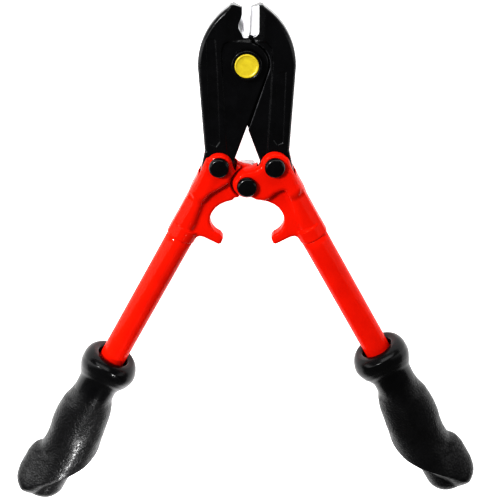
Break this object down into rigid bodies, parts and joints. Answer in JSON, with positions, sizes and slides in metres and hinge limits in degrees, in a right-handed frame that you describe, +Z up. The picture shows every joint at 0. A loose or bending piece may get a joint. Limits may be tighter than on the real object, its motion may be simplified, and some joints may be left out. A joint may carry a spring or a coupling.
{
  "type": "bolt cutters",
  "caption": "Hand bolt cutters: two half-lapped jaws on a compound lever linkage, with two steel tube handles that carry twisted rubber grips.",
  "frame": {"origin": "axis of the centre bolt where it meets the resting plane, at the back of its nut", "axes": "+X across the tool, +Y along the centre line towards the jaws, +Z up through the bolts towards their heads"},
  "size_m": [0.2952, 0.3234, 0.0346],
  "materials": {
    "black_paint": "satin",
    "black_oxide": "gloss",
    "yellow_plastic": "gloss",
    "zinc": "satin",
    "red_paint": "gloss",
    "rubber": "pebbled matte"
  },
  "bodies": {
    "left_jaw": {"left_blade": "black_paint", "pivot_bolt": "black_oxide", "pivot_cap": "yellow_plastic", "pivot_washer": "zinc", "pivot_nut": "zinc"},
    "right_jaw": {"right_blade": "black_paint"},
    "left_handle": {"left_yoke": "red_paint", "left_tube": "red_paint", "left_grip": "rubber", "left_blade_bolt": "black_oxide", "left_blade_washer": "zinc", "left_blade_nut": "zinc", "centre_bolt": "black_oxide", "centre_washer": "zinc", "centre_nut": "zinc"},
    "right_handle": {"right_yoke": "red_paint", "right_tube": "red_paint", "right_grip": "rubber", "right_blade_bolt": "black_oxide", "right_blade_washer": "zinc", "right_blade_nut": "zinc"}
  },
  "joints": [
    {"name": "left_blade_hinge", "type": "hinge", "parent": "left_jaw", "child": "left_handle", "pos_m": [-0.01568, 0.0116, 0.0172], "axis": [0, 0, 1], "range_deg": [-6, 25.1]},
    {"name": "jaw_pivot", "type": "hinge", "parent": "left_jaw", "child": "right_jaw", "pos_m": [0, 0.069, 0.0172], "axis": [0, 0, 1], "range_deg": [-1.8, 7]},
    {"name": "handle_swing", "type": "hinge", "parent": "left_handle", "child": "right_handle", "pos_m": [0, 0, 0.0172], "axis": [0, 0, -1], "range_deg": [-10, 43]}
  ],
  "couplings": [
    {"joint": "left_blade_hinge", "follows": "handle_swing", "ratio": 0.58},
    {"joint": "jaw_pivot", "follows": "handle_swing", "ratio": 0.16}
  ]
}
